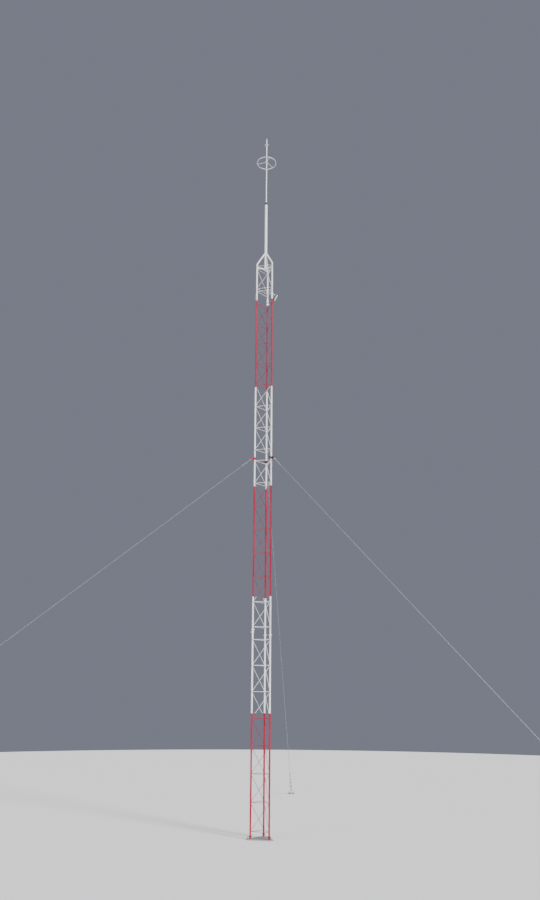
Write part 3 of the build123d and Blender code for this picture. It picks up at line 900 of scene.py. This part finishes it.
# Half of a thimble's section round its lip, and its groove's floor, as (height over the eye's
# inner radius, distance across)
THIMBLE_LIP = [
    (0.0, 0.0026),
    (0.0009, 0.0036),
    (0.0034, 0.0047),
    (0.0039, 0.0043),
    (0.0022, 0.0030),
]
THIMBLE_FLOOR = (THIMBLE_WALL, 0.0)
THIMBLE_NECK = 0.044
THIMBLE_TIP = (THIMBLE_NECK - 0.002, 0.0012)
THIMBLE_TIP_STEPS = 5
THIMBLE_STEPS = 24


def thimble(piece, middle, along, edge):
    """Grooved lining of the eye, open at its point."""
    out_of_plane = along.cross(edge)
    section = [(n, -w) for n, w in THIMBLE_LIP] + [THIMBLE_FLOOR] + THIMBLE_LIP[::-1]
    lean = math.acos(EYE_INNER / THIMBLE_NECK)
    nu, nv = math.cos(lean), math.sin(lean)
    places = []
    for i in range(THIMBLE_TIP_STEPS):
        t = i / THIMBLE_TIP_STEPS
        u = THIMBLE_TIP[0] + (EYE_INNER * nu - THIMBLE_TIP[0]) * t
        v = THIMBLE_TIP[1] + (EYE_INNER * nv - THIMBLE_TIP[1]) * t
        places.append((u, v, nu, nv))
    for i in range(THIMBLE_STEPS + 1):
        a = lean + (2 * math.pi - 2 * lean) * i / THIMBLE_STEPS
        nu, nv = math.cos(a), math.sin(a)
        places.append((EYE_INNER * nu, EYE_INNER * nv, nu, nv))
    for u, v, nu, nv in reversed(places[:THIMBLE_TIP_STEPS]):
        places.append((u, -v, nu, -nv))
    rings = []
    for u, v, nu, nv in places:
        ring = []
        for n, w in section:
            ring.append(middle + along * (u + nu * n) + edge * (v + nv * n) + out_of_plane * w)
        rings.append(ring)
    piece.loft(rings)


CLIP_BAR = 0.0024
CLIP_PLAY = 0.0003
CLIP_HALF = CABLE_RADIUS + CLIP_BAR + CLIP_PLAY
CLIP_END = 0.019
CLIP_BEND_STEPS = 8
SADDLE_SIZE = (0.015, 0.024, 0.0075)
SADDLE_RISE = CABLE_RADIUS + 0.0022
SADDLE_BEVEL = 0.0018
CLIP_NUT = (0.0085, 0.0046)
CLIP_NUT_RISE = CABLE_RADIUS + 0.006


def rope_clip(piece, middle, along, edge, kind):
    """U-bolt round the tail, with its saddle and two nuts on the taut side."""
    side = along.cross(edge)
    bend = middle - edge * TAIL_GAP
    path = [middle + edge * CLIP_END + side * CLIP_HALF]
    for i in range(CLIP_BEND_STEPS + 1):
        path.append(around(bend, side, -edge, math.pi * i / CLIP_BEND_STEPS, CLIP_HALF))
    path.append(middle + edge * CLIP_END - side * CLIP_HALF)
    piece.tube(path, CLIP_BAR, sides=8, kind=kind)
    seat = middle + edge * SADDLE_RISE
    piece.block(seat, (along, side, edge), SADDLE_SIZE, kind, SADDLE_BEVEL)
    for way in (-1, 1):
        start = middle + side * (CLIP_HALF * way) + edge * CLIP_NUT_RISE
        hexagon(piece, start, edge, *CLIP_NUT, kind, 0.2 + way)


# Wire that binds the tail's end: its profile, spacing, number of turns and place before the end
BINDING = [(-0.0008, 0.0034), (0, 0.0040), (0.0008, 0.0034)]
BINDING_STEP = 0.0018
BINDING_TURNS = 4
BINDING_INSET = 0.012
LOCK_NUT_START = TURNBUCKLE_BODY / 2 + 0.0001
LOCK_NUT_FLATS = 0.0135
LOCK_NUT_HEIGHT = 0.0065
# Radius, length and pitch
STEM_THREAD = (0.0045, 0.040, 0.00125)
for side in GUY_HEADINGS:
    down, across, over, cable_top, cable_low, hook_high, hook_low = guy_stations(side)
    cable = Piece(f"{side}_guy_strand", [wire])
    clips = Piece(f"{side}_guy_clips", [zinc, old_zinc])
    rope(cable, spaced(cable_top + down * NECK, cable_low - down * NECK, LINE_STEP))
    rope(cable, eye_loop(cable_top, down, across), phase=0.4)
    rope(cable, eye_loop(cable_low, -down, over), phase=1.0)
    for middle, along, edge in ((cable_top, down, across), (cable_low, -down, over)):
        thimble(clips, middle, along, edge)
        for i in range(CLIPS):
            place = middle + along * (FIRST_CLIP + CLIP_SPACING * i)
            rope_clip(clips, place, along, edge, kind=1)
        end = middle + along * (TAIL - BINDING_INSET) - edge * TAIL_GAP
        for i in range(BINDING_TURNS):
            cable.turned(end + along * (BINDING_STEP * i), along, BINDING, sides=12)
    cable.make(ROPE)
    clips.make(TURNED_PARTS)
    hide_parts(f"{side}_guy")

    # Threads and lock nuts of the turnbuckle
    threads = Piece(f"{side}_turnbuckle_threads", [old_zinc])
    middle = (hook_high + hook_low) / 2
    for way in (down, -down):
        start = middle + way * LOCK_NUT_START
        hexagon(threads, start, way, LOCK_NUT_FLATS, LOCK_NUT_HEIGHT, spin=0.3)
        thread(threads, start + way * LOCK_NUT_HEIGHT, way, *STEM_THREAD)
    threads.make(TURNED_PARTS)

# Heights and radii of the pole, its seat, the rod and the crown
POLE_RADIUS = 0.02415
POLE_FOOT = TOP_FOOT + 0.664
POLE_TOP = POLE_FOOT + 1.421
SEAT_RADIUS = 0.02935
SPOKE_LEVEL = TOP_FOOT + 0.670
SPOKE_HALF = (0.003, 0.012)
BEND_HEIGHT = 0.740
APEX_HEIGHT = 0.990
ROD_FOOT = POLE_TOP + 0.012
ROD_TOP = ROD_FOOT + 1.362
RING_LEVEL = ROD_FOOT + 0.939
RING_RADIUS = 0.1825
RING_TUBE_RADIUS = 0.010
HUB_RISE = 0.026
HUB_RADIUS = 0.020
SPOKE_HEADINGS = (62, 182, 302)
SPOKE_RADIUS = 0.006

# Beads of the top's welds
FRAME_BEAD = 0.0018
FRAME_BEAD_STEPS = 4
APEX_BEAD = 0.0022
APEX_BEAD_STEPS = 22


def weld_frame(piece, centre, out, radius, half_width, half_height):
    """Bead round the foot of a flat bar that stands out from an upright round surface."""
    across = out.cross(UP)
    path = []
    for (u0, v0), (u1, v1) in rectangle_sides(half_width, half_height):
        for step in range(FRAME_BEAD_STEPS):
            t = step / FRAME_BEAD_STEPS
            u = u0 + (u1 - u0) * t
            v = v0 + (v1 - v0) * t
            path.append(centre + out * math.sqrt(radius**2 - u * u) + across * u + UP * v)
    piece.tube(path, FRAME_BEAD, sides=6, closed=True, wander=EVEN_WELD)


def apex_weld(piece, side):
    """Bead where a bent top leg is coped to the pole."""
    out = heading(LEG_HEADINGS[side])
    across = out.cross(UP)
    start = Vector((LEG_CIRCLE, 0, BEND_HEIGHT))
    end = Vector((POLE_RADIUS / 3, 0, APEX_HEIGHT + POLE_RADIUS))
    run = (end - start).normalized()
    normal = Vector((run.z, 0, -run.x))
    bead_circle = LEG_RADIUS + WELD_RISE
    path = []
    for a in angles(APEX_BEAD_STEPS):
        u = bead_circle * math.sin(a)
        reach = math.sqrt(POLE_RADIUS**2 - u * u) + WELD_RISE
        edge = start + normal * (bead_circle * math.cos(a))
        place = edge + run * ((reach - edge.x) / run.x)
        path.append(out * place.x + across * u + UP * (TOP_FOOT + place.z))
    piece.tube(path, APEX_BEAD, sides=6, closed=True, wander=EVEN_WELD)


top_welds = Piece("top_weld_beads", [white])
for side, angle in LEG_HEADINGS.items():
    out = heading(angle)
    apex_weld(top_welds, side)
    weld_frame(top_welds, UP * SPOKE_LEVEL, out, SEAT_RADIUS, *SPOKE_HALF)
    weld_frame(top_welds, leg(side, SPOKE_LEVEL), -out, LEG_RADIUS, *SPOKE_HALF)
top_welds.make(WELDS)

# Set screws of the pole's seat, and a bolt that pins the coupling's plug in the pole.
# Small parts are let in by this much, so that no gap shows under them.
INLET = 0.0004
SEAT_SCREW_RISE = 0.022
SEAT_SCREW_TURN = 60
SEAT_WASHER = (0.0105, 0.0012)
SEAT_SCREW = (0.013, 0.0064)
PIN_HEADING = 104
PIN_DROP = 0.025
PIN_SIZE = 0.008
PIN_PLAY = 0.0006
PIN_REST = 0.005
pole_screws = Piece("pole_screws", [white])
for angle in LEG_HEADINGS.values():
    out = heading(angle + SEAT_SCREW_TURN)
    start = UP * (POLE_FOOT + SEAT_SCREW_RISE) + out * (SEAT_RADIUS - INLET)
    set_screw(pole_screws, start, out, SEAT_WASHER, SEAT_SCREW, spin=0.4)
middle = UP * (POLE_TOP - PIN_DROP)
way = heading(PIN_HEADING)
grip = 2 * POLE_RADIUS + PIN_PLAY
through_bolt(pole_screws, middle, way, grip, PIN_SIZE, spin=0.2, rest=PIN_REST)
pole_screws.make(BOLTS)

# Rubber sleeve that keeps water out between the pole and the coupling, with two grooves
SLEEVE_DROP = 0.0135
SLEEVE_PROFILE = [
    (0, 0.0246),
    (0.0012, 0.0259),
    (0.0060, 0.0261),
    (0.0068, 0.0256),
    (0.0076, 0.0261),
    (0.0125, 0.0262),
    (0.0133, 0.0257),
    (0.0141, 0.0262),
    (0.0178, 0.0260),
    (0.0190, 0.0243),
]
sleeve = Piece("coupling_sleeve", [black])
sleeve.turned(UP * (POLE_TOP - SLEEVE_DROP), UP, SLEEVE_PROFILE, sides=40)
sleeve.make(TURNED_PARTS)

COUPLING_SCREW_RISE = 0.013
COUPLING_SCREW_REACH = 0.0237
COUPLING_SCREW_HEADINGS = (115, 295)
COUPLING_WASHER = (0.008, 0.001)
COUPLING_SCREW = (0.010, 0.005)
coupling_screws = Piece("coupling_screws", [black])
for angle in COUPLING_SCREW_HEADINGS:
    out = heading(angle)
    start = UP * (POLE_TOP + COUPLING_SCREW_RISE) + out * COUPLING_SCREW_REACH
    set_screw(coupling_screws, start, out, COUPLING_WASHER, COUPLING_SCREW, spin=0.4)
coupling_screws.make(BOLTS)

# Welds and set screws of the crown ring
RING_WELD_INSET = 0.0005
HUB_WELD_REACH = HUB_RADIUS + 0.0012
SPOKE_WELD_RADIUS = SPOKE_RADIUS + 0.0008
SPOKE_WELD_STEPS = 16
HUB_SCREW = (0.013, 0.0075)
HUB_SCREW_TURN = 60
fittings = Piece("crown_ring_fittings", [zinc])
hub_middle = UP * (RING_LEVEL + HUB_RISE)
for angle in SPOKE_HEADINGS:
    out = heading(angle)
    run = (out * RING_RADIUS + UP * RING_LEVEL - hub_middle).normalized()
    ring_weld_reach = RING_RADIUS / run.dot(out) - RING_TUBE_RADIUS - RING_WELD_INSET
    for reach in (ring_weld_reach, HUB_WELD_REACH):
        path = circle_path(hub_middle + run * reach, run, SPOKE_WELD_RADIUS, SPOKE_WELD_STEPS)
        fittings.tube(path, FRAME_BEAD, sides=6, closed=True, wander=EVEN_WELD)
    out = heading(angle + HUB_SCREW_TURN)
    hexagon(fittings, hub_middle + out * (HUB_RADIUS - INLET), out, *HUB_SCREW, spin=0.3)
fittings.make(RING_FITTINGS)

# Nuts that clamp the tip's disc, one under it and one on it: where each starts over the rod's top,
# which way it goes, its width over flats, height and spin
TIP_NUTS = ((0.0002, -UP, 0.030, 0.012, 0.3), (0.0100, UP, 0.026, 0.011, 0.1))
tip_nuts = Piece("rod_tip_nuts", [zinc])
for rise, way, flats, height, spin in TIP_NUTS:
    hexagon(tip_nuts, UP * (ROD_TOP + rise), way, flats, height, spin=spin)
tip_nuts.make(BOLTS)

# Welds of the guys' lugs, on the brackets and on the anchors
BRACKET_LUG_HALF_HEIGHT = 0.017
ANCHOR_LUG_HALF_LENGTH = 0.045
ANCHOR_BEAD = 0.0022
ANCHOR_BEAD_STEP = 0.006
bracket_welds = Piece("guy_bracket_weld_beads", [crimson])
anchor_welds = Piece("anchor_weld_beads", [old_zinc])
for side, angle in GUY_HEADINGS.items():
    out = heading(angle)
    lug_foot = COPE_RADIUS + BRACKET_WALL
    lug = (LUG_HALF, BRACKET_LUG_HALF_HEIGHT)
    weld_frame(bracket_welds, leg(side, GUY_LEVEL), out, lug_foot, *lug)
    foot = leg(side, ANCHOR_DISC) + out * GUY_DISTANCES[side]
    across = out.cross(UP)
    path = []
    for (u0, v0), (u1, v1) in rectangle_sides(ANCHOR_LUG_HALF_LENGTH, LUG_HALF):
        start = foot + out * u0 + across * v0
        end = foot + out * u1 + across * v1
        path += spaced(start, end, ANCHOR_BEAD_STEP)[:-1]
    anchor_welds.tube(path, ANCHOR_BEAD, sides=6, closed=True, wander=ROUGH_WELD)
bracket_welds.make(WELDS)
anchor_welds.make(WELDS)

# Small panel antenna: its strut's nut, clamp screws, back screws and gland
ANTENNA_HEADING = 13
ANTENNA_DISTANCE = 0.070
ANTENNA_LEAN = math.radians(27)
ANTENNA_HEIGHT = 0.122
ANTENNA_THICKNESS = 0.014
STRUT_INSET = 0.034
STRUT_NUT_SHARE = 0.3
STRUT_NUT = [(0, 0.0112), (0.0014, 0.0125), (0.0194, 0.0125), (0.0208, 0.0112)]
STRUT_WASHER = (0.0115, 0.0022)
CLAMP_WASHER = (0.0085, 0.0012)
CLAMP_SCREW = (0.010, 0.0055)
BACK_SCREW = [(0, 0.0034), (0.0012, 0.0034), (0.0021, 0.0024)]
BACK_SCREW_RISES = (-0.050, 0.050)
BACK_SCREW_ACROSS = (-0.019, 0.019)
GLAND_DEPTH = 0.007
GLAND_NUT = (0.009, 0.004)
GLAND_PROFILE = [(0.004, 0.0040), (0.0075, 0.0040), (0.0095, 0.0030), (0.0098, 0.0018)]
antenna_out = heading(ANTENNA_HEADING)
antenna_side = heading(ANTENNA_HEADING - 90)
antenna_up = antenna_out * math.sin(ANTENNA_LEAN) + UP * math.cos(ANTENNA_LEAN)
antenna_front = antenna_out * math.cos(ANTENNA_LEAN) - UP * math.sin(ANTENNA_LEAN)
antenna_middle = leg("right", TOP_FOOT) + antenna_out * ANTENNA_DISTANCE


def antenna_point(depth, rise, across=0.0):
    """A place on the panel: in front of its back face, along its height and across it."""
    inset = depth - ANTENNA_THICKNESS / 2
    return antenna_middle + antenna_front * inset + antenna_up * rise + antenna_side * across


mounting = Piece("antenna_fixings", [zinc])
strut_level, strut_reach = ANTENNA_CLAMPS[1]
strut_start = leg("right", TOP_FOOT + strut_level) + antenna_out * strut_reach
strut_run = antenna_point(-SEAT_GAP, ANTENNA_HEIGHT / 2 - STRUT_INSET) - strut_start
strut_way = strut_run.normalized()
nut_start = strut_start + strut_run * STRUT_NUT_SHARE - strut_way * INLET
mounting.turned(nut_start, strut_way, STRUT_NUT, sides=6)
washer(mounting, nut_start - strut_way * STRUT_WASHER[1], strut_way, *STRUT_WASHER)
for level, bore in ANTENNA_CLAMPS:
    start = leg("right", TOP_FOOT + level) - antenna_out * (bore + BRACKET_WALL - INLET)
    set_screw(mounting, start, -antenna_out, CLAMP_WASHER, CLAMP_SCREW, spin=0.3)
for rise in BACK_SCREW_RISES:
    for across in BACK_SCREW_ACROSS:
        start = antenna_point(INLET, rise, across)
        mounting.turned(start, -antenna_front, BACK_SCREW, sides=12)
mounting.make(BOLTS)

gland = Piece("antenna_gland", [black])
gland_start = antenna_point(GLAND_DEPTH, INLET - ANTENNA_HEIGHT / 2)
hexagon(gland, gland_start, -antenna_up, *GLAND_NUT)
gland.turned(gland_start, -antenna_up, GLAND_PROFILE, sides=16)
gland.make(TURNED_PARTS)

# Floor and light
FLOOR_RADIUS = 22
FLOOR_SIDES = 128
SKY = (0.235, 0.25, 0.315, 1)
SKY_STRENGTH = 0.8
rim = [heading(360 * i / FLOOR_SIDES) * FLOOR_RADIUS for i in range(FLOOR_SIDES)]
floor_mesh = bpy.data.meshes.new("studio_floor")
floor_mesh.from_pydata([tuple(point) for point in rim], [], [tuple(range(FLOOR_SIDES))])
floor_mesh.materials.append(stage_surface())
floor = bpy.data.objects.new("studio_floor", floor_mesh)
bpy.context.scene.collection.objects.link(floor)
floor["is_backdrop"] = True

world = bpy.data.worlds.new("studio")
world.use_nodes = True
background = world.node_tree.nodes["Background"]
background.inputs["Color"].default_value = SKY
background.inputs["Strength"].default_value = SKY_STRENGTH
bpy.context.scene.world = world


def sun(name, azimuth, elevation, strength, spread, colour):
    """azimuth is from the front face to the right, all angles are in degrees."""
    data = bpy.data.lights.new(name, "SUN")
    data.energy = strength
    data.angle = math.radians(spread)
    data.color = colour
    lamp = bpy.data.objects.new(name, data)
    bpy.context.scene.collection.objects.link(lamp)
    a, e = math.radians(azimuth), math.radians(elevation)
    toward = Vector((math.sin(a) * math.cos(e), -math.cos(a) * math.cos(e), math.sin(e)))
    lamp.rotation_mode = "QUATERNION"
    lamp.rotation_quaternion = toward.to_track_quat("Z", "Y")


sun("key", azimuth=58, elevation=40, strength=5.2, spread=10, colour=(1.0, 0.985, 0.96))
sun("fill", azimuth=-35, elevation=22, strength=2.0, spread=40, colour=(0.95, 0.96, 1.0))

low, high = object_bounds()
